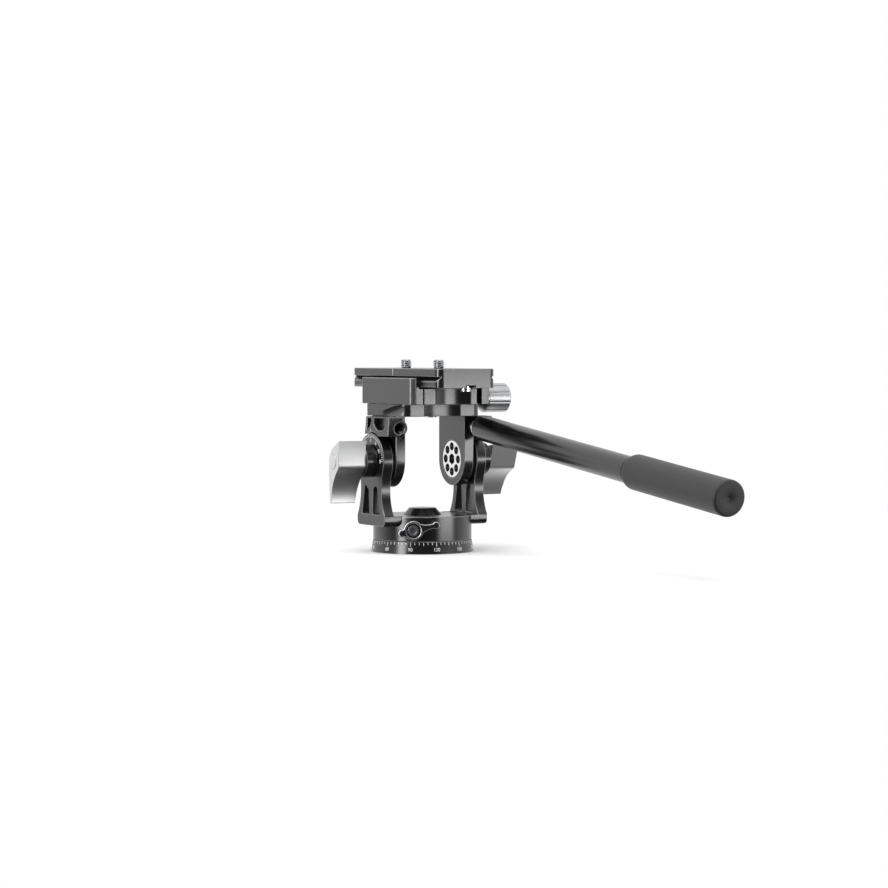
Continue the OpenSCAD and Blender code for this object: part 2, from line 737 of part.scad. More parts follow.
// Pockets in the truss, one on each side of its slanting rib
module truss_pockets() {
    top = cradle_rise - truss_wall;
    low = truss_r + truss_wall;
    rear = truss_wall * 4 - boss_y;
    rib = truss_front * 0.56;
    polygon([[-rib, top], [rear, top], [rear, low + boss_r * 0.6], [rear + boss_r * 0.8, low],
        [-rib * 2, low], [-rib * 0.86, low + truss_front * 0.4]]);
    polygon([[-rib * 0.14, top], [truss_front * 0.55, top], [truss_front * 0.7, low],
        [rib * 0.1, low + truss_front * 0.36]]);
}

// Cheek of the cradle: the inner arm, its truss and its handle boss
module cheek(side) color("#2a2a2c") on_side(side) difference() {
    union() {
        extrude_x(cheek_in, cheek_out) {
            translate([0, tilt_z]) circle(r = cheek_half);
            translate([-cheek_half, tilt_z]) square([2 * cheek_half, cradle_rise]);
        }
        translate([0, 0, tilt_z]) extrude_x(cheek_out - past, arm_out) truss_outline();
        handle_frame(1) translate([0, 0, -boss_root]) cylinder(r = boss_r, h = boss_root);
    }
    translate([0, 0, tilt_z]) extrude_x(arm_out - truss_pocket, arm_out + past) truss_pockets();
    translate([0, 0, tilt_z]) rod_x(cheek_in - past, pocket_x1, axle_disc_r + body_gap);
    translate([0, 0, tilt_z]) rod_x(cheek_in - past, cheek_out + past, tilt_bush_r + press_gap);
    handle_frame(1) translate([0, 0, -handle_thread_depth])
        cylinder(r = handle_thread_r + press_gap, h = handle_thread_depth + past);
    handle_frame(1) difference() {
        translate([cheek_in - boss_x, -cradle_rise / 2, -boss_proud])
            cube([arm_out - truss_skin - cheek_in, cradle_rise, boss_proud + past]);
        translate([0, 0, -boss_root]) cylinder(r = boss_r, h = boss_root + 2 * past);
    }
    handle_frame(1) translate([0, 0, -boss_chamfer])
        cylinder(r1 = handle_thread_r, r2 = handle_thread_r + 2 * boss_chamfer, h = 2 * boss_chamfer);
    for (y = cheek_screw_ys) translate([cheek_screw_x, y, cradle_z1 - cheek_screw_l - press_gap])
        cylinder(r = cheek_screw_r + press_gap, h = cheek_screw_l);
}

module left_cheek() cheek(-1);
module right_cheek() cheek(1);

module tilt_bush(side) color("#e8e4d8") on_side(side)
    tilt_ring(pocket_x1, cheek_out, axle_r + run_gap, tilt_bush_r);

module left_tilt_bush() tilt_bush(-1);
module right_tilt_bush() tilt_bush(1);

// Screws down through the top plate into the cheeks
module cheek_screw_places() {
    for (side = [-1, 1], y = cheek_screw_ys) translate([side * cheek_screw_x, y, cradle_z1])
        rotate([180, 0, 0]) children();
}

// Screws down through the clamp's floor into the top plate
module mount_screw_places() {
    for (end = [-1, 1]) translate([0, end * mount_screw_y, floor_z - press_gap])
        rotate([180, 0, 0]) children();
}

// Top plate of the cradle with round corners and hollow ends
module cradle_plate() color("#242426") difference() {
    round_corners(cradle_half_w, cradle_half_l, cradle_corner_r, cradle_z0, cradle_z1);
    end_scallops(0, cradle_half_l, scallop_r, scallop_depth, cradle_z0 - past, cradle_z1 + past);
    for (side = [-1, 1]) translate([side * (cradle_half_w + scoop_r - scoop_depth), -2, cradle_z0 + 0.3])
        rotate([90 - scoop_slope, 0, 0]) cylinder(r = scoop_r, h = 4 * cradle_half_l, center = true);
    cheek_screw_places() countersunk(cheek_screw_r, cheek_screw_head_r, cheek_screw_l, press_gap);
    mount_screw_places() cylinder(r = mount_screw_r + press_gap, h = mount_screw_l + press_gap);
}

module cheek_screws() color("#8d9095") cheek_screw_places()
    countersunk(cheek_screw_r, cheek_screw_head_r, cheek_screw_l, 0);

// Cross-section of the clamp body: floor and fixed jaw
module clamp_outline() {
    polygon([[-clamp_left, cradle_z1], [clamp_right, cradle_z1], [clamp_right, floor_z], [-jaw_wall, floor_z],
        [-jaw_wall, lip_low], [-lip_in, lip_top], [-lip_in, jaw_top], [-clamp_left, jaw_top]]);
}

module clamp_body() color("#242426") difference() {
    intersection() {
        extrude_y(clamp_half_l) clamp_outline();
        translate([0, 0, cradle_z1]) linear_extrude(jaw_h)
            cut_corners(-clamp_left, clamp_right, clamp_half_l, corner_cut);
    }
    end_scallops(clamp_scallop_x, clamp_half_l, clamp_scallop_r, clamp_scallop_depth,
        cradle_z1 - past, floor_z + past);
    for (end = [-1, 1]) translate([-jaw_line_x, end * clamp_half_l, cradle_z1 + jaw_h / 2])
        cube([jaw_line, 2 * jaw_line_depth, jaw_h + 2 * past], center = true);
    mount_screw_places() {
        translate([0, 0, -past]) cylinder(r = mount_head_r + press_gap, h = mount_head_l + past);
        cylinder(r = mount_screw_r + press_gap, h = mount_screw_l);
    }
    translate([0, 0, clamp_screw_z]) rod_x(-clamp_screw_in, clamp_right + past, clamp_screw_r + run_gap);
    for (end = [-1, 1]) translate([0, end * guide_y, guide_z]) {
        rod_x(guide_in - press_gap, clamp_right + past, guide_r + press_gap);
        rod_x(clamp_right - spring_sink, clamp_right + past, spring_bore_r);
    }
}

module clamp_mount_screws() color("#8d9095") mount_screw_places() difference() {
    union() {
        translate([0, 0, press_gap]) cylinder(r = mount_head_r, h = mount_head_l - 2 * press_gap);
        translate([0, 0, press_gap]) cylinder(r = mount_screw_r, h = mount_screw_l - press_gap);
    }
    translate([0, 0, -past]) cylinder(r = mount_hex_r, h = past + 2.5, $fn = 6);
}

module jaw_guide_pins() color("#c3c5c8")
    for (end = [-1, 1]) translate([0, end * guide_y, guide_z]) rod_x(guide_in, jaw_out - body_gap, guide_r);

// Points of a ring of the spring's wire, along X
spring_x0 = clamp_right - spring_sink + spring_wire_r + press_gap;
spring_x1 = jaw_in + spring_jaw_sink - spring_wire_r - body_gap;
spring_sides = 6;
spring_steps = 12;
spring_rings = spring_turns * spring_steps;
spring_mid_r = spring_r - spring_wire_r;
function spring_ring(i) =
    let (turn = 360 * i / spring_steps, x = spring_x0 + (spring_x1 - spring_x0) * i / spring_rings)
    [for (s = [0 : spring_sides - 1])
        let (a = 360 * s / spring_sides, r = spring_mid_r + spring_wire_r * cos(a))
        [x + spring_wire_r * sin(a), r * cos(turn), r * sin(turn)]];

// Spring that pushes the moving jaw open, wound round its guide pin
module jaw_spring() {
    points = [for (i = [0 : spring_rings]) each spring_ring(i)];
    n = spring_sides;
    last = spring_rings * n;
    walls = [for (i = [0 : spring_rings - 1], s = [0 : n - 1])
        let (a = i * n + s, b = i * n + (s + 1) % n)
        each [[a, a + n, b + n], [a, b + n, b]]];
    start = [for (s = [1 : n - 2]) [0, s, s + 1]];
    finish = [for (s = [1 : n - 2]) [last, last + s + 1, last + s]];
    polyhedron(points, concat(walls, start, finish));
}

module jaw_springs() color("#9a9da1")
    for (end = [-1, 1]) translate([0, end * guide_y, guide_z]) jaw_spring();

// Cross-section of the moving jaw
module jaw_outline() {
    polygon([[jaw_in, cradle_z1 + body_gap], [jaw_out, cradle_z1 + body_gap], [jaw_out, jaw_top],
        [lip_in, jaw_top], [lip_in, lip_top], [jaw_wall, lip_low], [jaw_wall, plate_z0], [jaw_in, plate_z0]]);
}

module moving_jaw() color("#242426") difference() {
    intersection() {
        extrude_y(jaw_half_l) jaw_outline();
        translate([0, 0, cradle_z1]) linear_extrude(jaw_h + past)
            cut_corners(lip_in - corner_cut, jaw_out, jaw_half_l, corner_cut);
    }
    translate([0, 0, clamp_screw_z]) rod_x(jaw_in - past, jaw_out + past, clamp_screw_r + run_gap);
    for (end = [-1, 1]) translate([0, end * guide_y, guide_z]) {
        rod_x(jaw_in - past, jaw_out + past, guide_r + run_gap);
        rod_x(jaw_in - past, jaw_in + spring_jaw_sink, spring_bore_r);
    }
}

// Bearing washer between the jaw and the clamp knob
stem_x0 = jaw_out + jaw_washer_t + run_gap;
cone_x0 = stem_x0 + stem_l;
band_x0 = cone_x0 + cone_l;
band_x1 = band_x0 + clamp_knob_l;
module jaw_washer() color("#b9bcc0") translate([0, 0, clamp_screw_z]) difference() {
    rod_x(jaw_out, jaw_out + jaw_washer_t, stem_r + 0.6);
    rod_x(jaw_out - past, jaw_out + jaw_washer_t + past, clamp_screw_r + run_gap);
}

// Fluted clamp knob with a cone behind its gripping band
module clamp_knob() color("#8b8d90") translate([0, 0, clamp_screw_z]) difference() {
    union() {
        rod_x(stem_x0, cone_x0 + past, stem_r);
        translate([cone_x0, 0, 0]) rotate([0, 90, 0]) cylinder(r1 = stem_r, r2 = clamp_knob_r, h = cone_l);
        rod_x(band_x0, band_x1 - 1, clamp_knob_r);
        translate([band_x1 - 1, 0, 0]) rotate([0, 90, 0])
            cylinder(r1 = clamp_knob_r, r2 = clamp_knob_r - 1, h = 1);
    }
    for (i = [0 : knob_flutes - 1]) rotate([i * 360 / knob_flutes, 0, 0])
        translate([0, 0, clamp_knob_r + 0.5]) rod_x(band_x0 + 1.2, band_x1 + past, 1.1);
    rod_x(stem_x0 - past, band_x1 - 4, clamp_screw_r + press_gap);
}

module clamp_screw() color("#b9bcc0") translate([0, 0, clamp_screw_z])
    rod_x(-clamp_screw_in + body_gap, band_x1 - 4 - press_gap, clamp_screw_r);

// Half of the dovetail plate's cross-section, mirrored to the other side
module plate_outline() {
    right = [[plate_half_w - 0.8, plate_z0], [plate_half_w, plate_z0 + 0.8],
        [plate_half_w, groove_z1 - groove_wall - dovetail_depth], [plate_neck, groove_z1 - groove_wall],
        [plate_neck, groove_z1], [plate_half_w, groove_z1], [plate_half_w, plate_z1]];
    polygon(concat(right, [for (i = [len(right) - 1 : -1 : 0]) [-right[i][0], right[i][1]]]));
}

// Long slot with round ends
module slot(l, r, z0, z1) {
    translate([-r, -l / 2, z0]) cube([2 * r, l, z1 - z0]);
    for (end = [-1, 1]) translate([0, end * l / 2, z0]) cylinder(r = r, h = z1 - z0);
}

module stop_screw_places() {
    for (end = [-1, 1]) translate([-end * stop_screw_x, end * stop_screw_y, plate_z0]) children();
}

// Pocket for a stop screw's head, open to the end of the plate
module stop_pocket(end) {
    reach = stop_inset + past;
    cylinder(r = stop_pocket_r, h = stop_sink + past);
    translate([-stop_pocket_r, end > 0 ? 0 : -reach, 0])
        cube([2 * stop_pocket_r, reach, stop_sink + past]);
}

module quick_release_plate() color("#1b1b1d") difference() {
    intersection() {
        extrude_y(plate_l / 2) plate_outline();
        round_corners(plate_half_w, plate_l / 2, plate_corner_r, plate_z0, plate_z1);
    }
    slot(camera_slot_l, camera_screw_r + press_gap, plate_z0 - past, plate_z1 + past);
    slot(camera_slot_l, slot_head_r, plate_z0 - past, plate_z0 + slot_floor);
    stop_screw_places() cylinder(r = stop_screw_r + press_gap, h = stop_sink + stop_screw_l + press_gap);
    for (end = [-1, 1]) translate([-end * stop_screw_x, end * stop_screw_y, plate_z0 - past])
        stop_pocket(end);
}

// Captive screws that hold the camera or lens foot on the plate
module camera_screws() color("#c3c5c8") for (end = [-1, 1])
    translate([0, end * camera_screw_y, plate_z0 + slot_floor]) difference() {
        union() {
            translate([0, 0, -camera_head_l]) cylinder(r = camera_head_r, h = camera_head_l);
            translate([0, 0, -past / 2]) cylinder(r = camera_neck_r, h = plate_t - slot_floor + past);
            translate([0, 0, plate_t - slot_floor + body_gap])
                cylinder(r = camera_screw_r, h = camera_screw_up - body_gap);
        }
        translate([0, 0, -camera_head_l - past]) cylinder(r = mount_hex_r, h = past + 1.6, $fn = 6);
    }

// Stops under the ends of the plate, which keep it from sliding out of the clamp
module plate_stop_screws() color("#d4d6d8") stop_screw_places() {
    translate([0, 0, stop_sink - stop_head_l]) cylinder(r = stop_head_r, h = stop_head_l);
    translate([0, 0, stop_sink - past]) cylinder(r = stop_screw_r, h = stop_screw_l + past);
}

// One arm of the lock lever, with hollow flanks and a round end
module lever_arm(reach) {
    end = reach - lever_tip_r;
    root = lever_hub_r * [0.5, 0.75];
    neck = [end, lever_tip_r * 0.8];
    flank = arc_centre(neck, root, lever_flank_r);
    difference() {
        polygon([[0, -root[1]], [root[0], -root[1]], [end, -neck[1]], neck, root, [0, root[1]]]);
        translate(flank) circle(r = lever_flank_r);
        translate([flank[0], -flank[1]]) circle(r = lever_flank_r);
    }
    translate([end, 0]) circle(r = lever_tip_r);
}

// Lock lever: a round hub with a long and a short end
module lever_outline() {
    rotate([0, 0, 90 + lever_rise]) {
        circle(r = lever_hub_r);
        lever_arm(lever_long);
        mirror([1, 0]) lever_arm(lever_short);
    }
}

module pan_lock_lever() color("#2a2a2c") lock_frame() difference() {
    union() {
        translate([0, 0, lever_r0]) linear_extrude(lever_t) lever_outline();
        translate([0, 0, pan_r + body_gap]) cylinder(r = lever_hub_r - 1, h = lever_r0 - pan_r);
    }
    translate([0, 0, pan_r - past]) cylinder(r = lock_screw_r + press_gap, h = lever_r1);
    translate([0, 0, lever_r1 - lock_head_sink]) cylinder(r = lock_recess_r, h = lever_t);
}

module pan_lock_screw() color("#c3c5c8") lock_frame() difference() {
    union() {
        translate([0, 0, shoe_r1 + run_gap]) cylinder(r = lock_screw_r, h = lever_r1 - shoe_r1 - past);
        translate([0, 0, lever_r1 - lock_head_sink]) cylinder(r = lock_head_r, h = lock_head_l);
    }
    translate([0, 0, lever_r1 - lock_head_sink + lock_hex_floor])
        cylinder(r = lock_hex_r, h = lock_head_l, $fn = 6);
}

// Steel stud that screws the handle to the right boss
module handle_stud() color("#b9bcc0") handle_frame(1) translate([0, 0, -handle_thread_depth + body_gap])
    cylinder(r = handle_thread_r, h = handle_thread_depth + handle_washer_t + plug_l - stud_short);

// Polished washer between the boss and the handle tube
module handle_washer() color("#d4d6d8") handle_frame(1)
    ring(handle_thread_r + press_gap, handle_washer_r, 0, handle_washer_t);

module handle_tube() color("#1f1f21") handle_frame(1)
    ring(tube_r - tube_wall, tube_r, handle_washer_t, handle_l - grip_end_t);

module handle_plug() color("#8d9095") handle_frame(1)
    translate([0, 0, handle_washer_t])
        ring(handle_thread_r + press_gap, tube_r - tube_wall - press_gap, 0, plug_l);

// Foam grip, closed at its end
module handle_grip() color("#161617") handle_frame(1) rotate_extrude() {
    g0 = handle_l - grip_l;
    in_r = tube_r + press_gap;
    polygon([[in_r, g0], [tube_r + grip_lip, g0], [grip_nose_r, g0 + grip_nose_l * 0.55],
        [grip_r, g0 + grip_nose_l], [grip_r, handle_l - grip_edge],
        [grip_r - grip_edge * 0.3, handle_l - grip_edge * 0.3], [grip_r - grip_edge, handle_l],
        [0, handle_l], [0, handle_l - grip_end_t], [in_r, handle_l - grip_end_t]]);
}

base_plate();
tripod_thread_insert();
pan_spindle();
spindle_screws();
pan_washer();
cap_washer();
spindle_cap();
pan_body();
pan_bush();
pan_lock_shoe();
left_fork_arm();
right_fork_arm();
fork_screws();
left_tilt_axle();
right_tilt_axle();
left_friction_washer();
right_friction_washer();
left_thrust_washer();
right_thrust_washer();
pan_lock_lever();
pan_lock_screw();
left_tilt_knob();
right_tilt_knob();
left_knob_hub();
right_knob_hub();
left_knob_cap();
right_knob_cap();
left_cheek();
right_cheek();
left_tilt_bush();
right_tilt_bush();
cradle_plate();
cheek_screws();
clamp_body();
clamp_mount_screws();
jaw_guide_pins();
jaw_springs();
moving_jaw();
jaw_washer();
clamp_knob();
clamp_screw();
quick_release_plate();
camera_screws();
plate_stop_screws();
handle_stud();
handle_washer();
handle_tube();
handle_plug();
handle_grip();
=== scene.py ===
import json
import math

import bmesh
import bpy
from mathutils import Matrix, Vector
from mathutils.geometry import intersect_point_line


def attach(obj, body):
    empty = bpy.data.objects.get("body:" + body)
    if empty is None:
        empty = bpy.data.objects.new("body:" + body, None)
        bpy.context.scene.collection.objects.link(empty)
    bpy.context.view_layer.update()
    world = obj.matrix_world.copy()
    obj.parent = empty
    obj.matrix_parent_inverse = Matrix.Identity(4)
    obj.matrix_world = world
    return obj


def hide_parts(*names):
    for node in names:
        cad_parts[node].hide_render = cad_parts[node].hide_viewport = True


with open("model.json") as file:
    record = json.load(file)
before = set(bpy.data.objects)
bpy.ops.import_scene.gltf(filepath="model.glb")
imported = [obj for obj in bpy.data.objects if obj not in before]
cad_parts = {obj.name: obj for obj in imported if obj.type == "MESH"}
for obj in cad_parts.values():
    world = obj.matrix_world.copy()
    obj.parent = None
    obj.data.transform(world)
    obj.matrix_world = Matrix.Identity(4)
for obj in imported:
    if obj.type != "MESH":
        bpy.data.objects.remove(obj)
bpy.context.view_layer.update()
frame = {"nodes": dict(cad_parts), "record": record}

NODES = frame["nodes"]
MM = 0.001

# Places on the head, in metres, with the pan axis on Z and the tilt axis along X
TILT_Z = 53.4 * MM
BASE_R = 30 * MM
BASE_TOP_R = 28.9 * MM
BASE_H = 7 * MM
ARM_OUT = 34 * MM
PLATE_SIDE = 19 * MM
HANDLE_SLOPE = math.radians(6.6)
HANDLE_SEAT = Vector((26.5, -22, 72.4)) * MM
CLAMP_AXIS_Z = 89.2 * MM

WELD = 1e-7  # points closer than this, in metres, are one point


# Materials

def linear(hex_colour):
    """An sRGB hex colour as a linear RGBA."""
    channels = [int(hex_colour[i:i + 2], 16) / 255 for i in (1, 3, 5)]
    return [c / 12.92 if c <= 0.04045 else ((c + 0.055) / 1.055) ** 2.4 for c in channels] + [1]


def add(tree, kind, settings=(), **links):
    """Adds a node; settings are attributes or inputs by name, links are inputs by name."""
    node = tree.nodes.new(kind)
    for name, value in dict(settings).items():
        if name in node.inputs.keys():
            node.inputs[name].default_value = value
        else:
            setattr(node, name, value)
    for name, socket in links.items():
        tree.links.new(socket, node.inputs[name.replace("_", " ")])
    return node


def surface(name, **sockets):
    """A material with its shader's constant sockets set, ready for its pattern."""
    material = bpy.data.materials.new(name)
    material.use_nodes = True
    shader = material.node_tree.nodes["Principled BSDF"]
    for socket, value in sockets.items():
        shader.inputs[socket.replace("_", " ")].default_value = value
    place = add(material.node_tree, "ShaderNodeTexCoord").outputs["Object"]
    return material, material.node_tree, shader, place


def grain(tree, shader, place, size_mm, height_mm, rough, detail=3):
    """A fine grain of one size in the height and the roughness of a surface. Real blasted, turned and drawn
    grain is 0.05 to 0.1 mm wide, too fine to show, so it is drawn at 0.3 to 0.6 mm."""
    noise = add(tree, "ShaderNodeTexNoise", {"Scale": 1000 / size_mm, "Detail": detail}, Vector=place)
    bump = add(tree, "ShaderNodeBump", {"Strength": 1.0, "Distance": height_mm * MM},
               Height=noise.outputs["Fac"])
    spread = add(tree, "ShaderNodeMapRange", {"To Min": rough[0], "To Max": rough[1]},
                 Value=noise.outputs["Fac"])
    tree.links.new(bump.outputs["Normal"], shader.inputs["Normal"])
    tree.links.new(spread.outputs["Result"], shader.inputs["Roughness"])


def tint(tree, shader, place, low, high, size_mm):
    """A slow drift between two colours over a surface."""
    noise = add(tree, "ShaderNodeTexNoise", {"Scale": 1000 / size_mm, "Detail": 2.0}, Vector=place)
    ramp = add(tree, "ShaderNodeValToRGB", {}, Fac=noise.outputs["Fac"])
    for stop, position, colour in zip(ramp.color_ramp.elements, (0.3, 0.7), (low, high)):
        stop.position = position
        stop.color = linear(colour)
    tree.links.new(ramp.outputs["Color"], shader.inputs["Base Color"])


# Bead-blasted black anodised aluminium: its dyed oxide hides the metal, so it is a satin near-black that
# brightens where the light grazes it.
BLACK_ANODISED, tree, shader, place = surface("bead_blasted_black_anodised_aluminium", IOR=1.7)
grain(tree, shader, place, 0.4, 0.003, (0.2, 0.28))
tint(tree, shader, place, "#0f0f10", "#151516", 14)

# Turned black anodised aluminium: a smoother black, for the lathe-cut base, pan body, hubs and cap.
BLACK_TURNED, tree, shader, place = surface("turned_black_anodised_aluminium", IOR=1.7)
grain(tree, shader, place, 0.5, 0.003, (0.2, 0.3))
tint(tree, shader, place, "#0d0d0e", "#121213", 18)

# Drawn black anodised tube: smooth and darker, with one long bright streak along it.
BLACK_TUBE, tree, shader, place = surface("drawn_black_anodised_tube", IOR=1.7)
grain(tree, shader, place, 0.6, 0.002, (0.18, 0.26))
tint(tree, shader, place, "#0b0b0c", "#0f0f10", 30)

# Clear anodised aluminium, blasted fine: pale silver grey with a soft sheen, for the wing knobs and caps.
SILVER_ANODISED, tree, shader, place = surface("fine_blasted_clear_anodised_aluminium", Metallic=1.0)
grain(tree, shader, place, 0.4, 0.003, (0.38, 0.46))
tint(tree, shader, place, "#dadbdb", "#e2e2e2", 12)

# Knurled and grey anodised aluminium: greyer, with bright crests, for the clamp knob.
GUNMETAL, tree, shader, place = surface("knurled_grey_anodised_aluminium", Metallic=1.0)
grain(tree, shader, place, 0.35, 0.004, (0.26, 0.38))
tint(tree, shader, place, "#b6b7b9", "#c2c3c4", 8)

# Diamond-cut aluminium edge: the bare bright metal where a cutter broke the black edge.
CUT_EDGE, tree, shader, place = surface("diamond_cut_aluminium_edge", Metallic=1.0)
grain(tree, shader, place, 0.3, 0.001, (0.34, 0.44))
tint(tree, shader, place, "#e2e3e4", "#ebebec", 6)

# Painted highlight on the black pieces' chamfers: a light grey metal laid on every broken edge draws a thin
# light line along the blasted faces, standing in for the light that the chamfers catch.
EDGE_HIGHLIGHT_PAINT, tree, shader, place = surface("painted_highlight_on_black_edges", Metallic=1.0)
grain(tree, shader, place, 0.3, 0.001, (0.4, 0.5))
tint(tree, shader, place, "#929294", "#9c9c9e", 6)

# Turned steel: grey with fine lathe marks.
STEEL, tree, shader, place = surface("turned_steel", Metallic=1.0)
grain(tree, shader, place, 0.3, 0.002, (0.22, 0.34))
tint(tree, shader, place, "#a9abae", "#b6b8bb", 6)

# Polished steel: bright and nearly mirror-like.
BRIGHT_STEEL, tree, shader, place = surface("polished_steel", Metallic=1.0)
grain(tree, shader, place, 0.5, 0.001, (0.1, 0.18))
tint(tree, shader, place, "#e4e5e6", "#eeeeee", 10)

# Machined acetal: waxy off-white.
ACETAL, tree, shader, place = surface("machined_acetal", IOR=1.48)
grain(tree, shader, place, 0.4, 0.002, (0.36, 0.46))
tint(tree, shader, place, "#e4e0d4", "#ece8dc", 10)

# Filled friction polymer: dull dark grey.
FRICTION, tree, shader, place = surface("filled_friction_polymer", IOR=1.5)
grain(tree, shader, place, 0.4, 0.004, (0.55, 0.7))
tint(tree, shader, place, "#242426", "#2c2c2e", 6)

# Turned bearing bronze: warm brown metal.
BRONZE, tree, shader, place = surface("turned_bearing_bronze", Metallic=1.0)
grain(tree, shader, place, 0.3, 0.002, (0.28, 0.4))
tint(tree, shader, place, "#b88a4a", "#c49858", 6)

# Closed-cell foam rubber, ground smooth: black, with a dry sheen and speckled cells, drawn at 0.9 mm.
FOAM, tree, shader, place = surface("ground_closed_cell_foam_rubber", IOR=1.45, Sheen_Weight=0.08)
grain(tree, shader, place, 0.9, 0.1, (0.42, 0.6), 4)
tint(tree, shader, place, "#1b1b1c", "#2c2c2d", 0.9)

# Screen-printed white ink: flat white figures and lines, a little worn.
WHITE_INK, tree, shader, place = surface("screen_printed_white_ink", IOR=1.5)
grain(tree, shader, place, 0.3, 0.002, (0.5, 0.6))
tint(tree, shader, place, "#dcdcda", "#f0f0ee", 2)


# Pieces

def new_piece(name, mesh, material, body):
    """A new object that rides on a body and takes a slot's finish."""
    piece = bpy.data.objects.new(name, mesh)
    bpy.context.scene.collection.objects.link(piece)
    mesh.materials.clear()
    mesh.materials.append(material)
    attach(piece, body)
    return piece


def smooth_by_angle(mesh, degrees=32):
    """Smooth faces, with sharp edges where the surface really breaks."""
    for face in mesh.polygons:
        face.use_smooth = True
    mesh.set_sharp_from_angle(angle=math.radians(degrees))


def bake_modifiers(piece):
    """Applies the piece's modifiers to its mesh."""
    graph = bpy.context.evaluated_depsgraph_get()
    mesh = bpy.data.meshes.new_from_object(piece.evaluated_get(graph))
    old = piece.data
    piece.modifiers.clear()
    piece.data = mesh
    bpy.data.meshes.remove(old)


def between_two(edge):
    """Whether an edge joins two faces, so that it has an angle."""
    return len(edge.link_faces) == 2


def soften_folds(work, width_mm, hollow):
    """Rounds the folds that run along X: a pocket's corners if hollow, or else the long shallow ridges."""
    shortest_mm, steepest = (2, 110) if hollow else (8, 75)
    shallowest, least_along_x = 20, 0.98
    folds = [edge for edge in work.edges if between_two(edge) and edge.is_convex != hollow
             and edge.calc_length() > shortest_mm * MM
             and abs((edge.verts[1].co - edge.verts[0].co).normalized().x) > least_along_x
             and math.radians(shallowest) < edge.calc_face_angle() < math.radians(steepest)]
    bmesh.ops.bevel(work, geom=folds, offset=width_mm * MM, segments=6, profile=0.5, affect="EDGES")


def folded_corners(work):
    """Corners of the triangles that a chamfer folded over, which show where it had no room."""
    too_small = 0.002 * MM * MM  # twice the area of a triangle that doesn't show
    corners = []
    for loops in work.calc_loop_triangles():
        a, b, c = (loop.vert.co.copy() for loop in loops)
        normal = (b - a).cross(c - a)
        if normal.dot(loops[0].face.normal) < 0 and normal.length > too_small:
            corners += [a, b, c]
    return corners


def clear_of(edge, corners, reach):
    """Whether an edge keeps a distance from all of these corners."""
    start, end = (vertex.co for vertex in edge.verts)
    for corner in corners:
        foot, share = intersect_point_line(corner, start, end)
        foot = start if share < 0 else end if share > 1 else foot
        if (foot - corner).length < reach:
            return False
    return True


def chamfered(work, width, edge_finish_or_highlight_index):
    """A copy of the work with its outer edges chamfered, apart from those that have no room for it."""
    least_angle, tries = math.radians(35), 12
    work.edges.index_update()
    work.edges.ensure_lookup_table()
    sharp = [edge.index for edge in work.edges if between_two(edge) and edge.is_convex
             and edge.calc_face_angle() > least_angle]
    trial = work.copy()
    for attempt in range(tries):
        trial.edges.ensure_lookup_table()
        # The chamfer faces take the material slot given, which on black pieces holds a painted highlight
        bmesh.ops.bevel(trial, geom=[trial.edges[i] for i in sharp], offset=width, segments=2, profile=0.5,
                        affect="EDGES", miter_outer="ARC", material=edge_finish_or_highlight_index)
        trial.normal_update()
        corners = folded_corners(trial)
        if not corners:
            break
        # The next try leaves out the edges near a fold, and reaches further each time
        reach = width * (1 + attempt / 3)
        sharp = [i for i in sharp if clear_of(work.edges[i], corners, reach)]
        trial.free()
        trial = work.copy()
    return trial


def drop_empty_faces(work):
    """Takes out the faces without any area that a chamfer may leave."""
    empty_area, step = 1e-6 * MM * MM, 0.0001 * MM
    edges = [edge for edge in work.edges if any(face.calc_area() < empty_area for face in edge.link_faces)]
    bmesh.ops.dissolve_degenerate(work, dist=step, edges=edges)


def broken_edges(node, width_mm, edge_finish_or_highlight, fold):
    """Replaces a CAD node by its own shape, with the edges broken by the small chamfer a cutter leaves."""
    mesh = NODES[node].data.copy()
    plain = bmesh.new()
    plain.from_mesh(mesh)
    # The solid's triangles become whole flat faces first
    bmesh.ops.remove_doubles(plain, verts=plain.verts, dist=0.03 * MM)
    bmesh.ops.dissolve_limit(plain, angle_limit=math.radians(0.5), verts=plain.verts, edges=plain.edges)
    if fold:
        soften_folds(plain, *fold)
    work = chamfered(plain, width_mm * MM, 1 if edge_finish_or_highlight else -1)
    plain.free()
    drop_empty_faces(work)
    piece = new_piece(node + "_finish", mesh, finish_of(node), BODY[node])
    # The chamfer faces take a second material: the lever's bare cut metal, or on black pieces a painted
    # highlight
    if edge_finish_or_highlight:
        mesh.materials.append(edge_finish_or_highlight)
    work.to_mesh(mesh)
    work.free()
    smooth_by_angle(mesh)
    flat = piece.modifiers.new("flat_faces", "WEIGHTED_NORMAL")
    flat.keep_sharp = True
    bake_modifiers(piece)
    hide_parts(node)


BODY = {node: body for body, nodes in frame["record"]["behaviour"]["bodies"].items() for node in nodes}
SLOT = {part["node"]: part["material_slot"] for part in frame["record"]["subparts"]}
FINISH = {"black_anodised": BLACK_ANODISED, "silver_anodised": SILVER_ANODISED, "steel": STEEL,
          "bright_steel": BRIGHT_STEEL, "white_polymer": ACETAL, "dark_polymer": FRICTION,
          "bronze": BRONZE, "foam": FOAM}
TURNED = ("base_plate", "pan_body", "spindle_cap", "left_knob_hub", "right_knob_hub")


def finish_of(node):
    """The finish of a CAD node: its slot's, or a closer one for what is turned or drawn."""
    if node == "handle_tube":
        return BLACK_TUBE
    return BLACK_TURNED if node in TURNED else FINISH[SLOT[node]]


for name, node in NODES.items():
    node.data.materials.clear()
    node.data.materials.append(finish_of(name))
    smooth_by_angle(node.data)

# Width of each piece's rounded folds, in millimetres, with whether they are hollow
FOLDS = {"left_tilt_knob": (1.6, False), "right_tilt_knob": (1.6, False), "left_cheek": (1.3, True),
         "right_cheek": (1.3, True), "left_fork_arm": (0.6, True), "right_fork_arm": (0.6, True)}
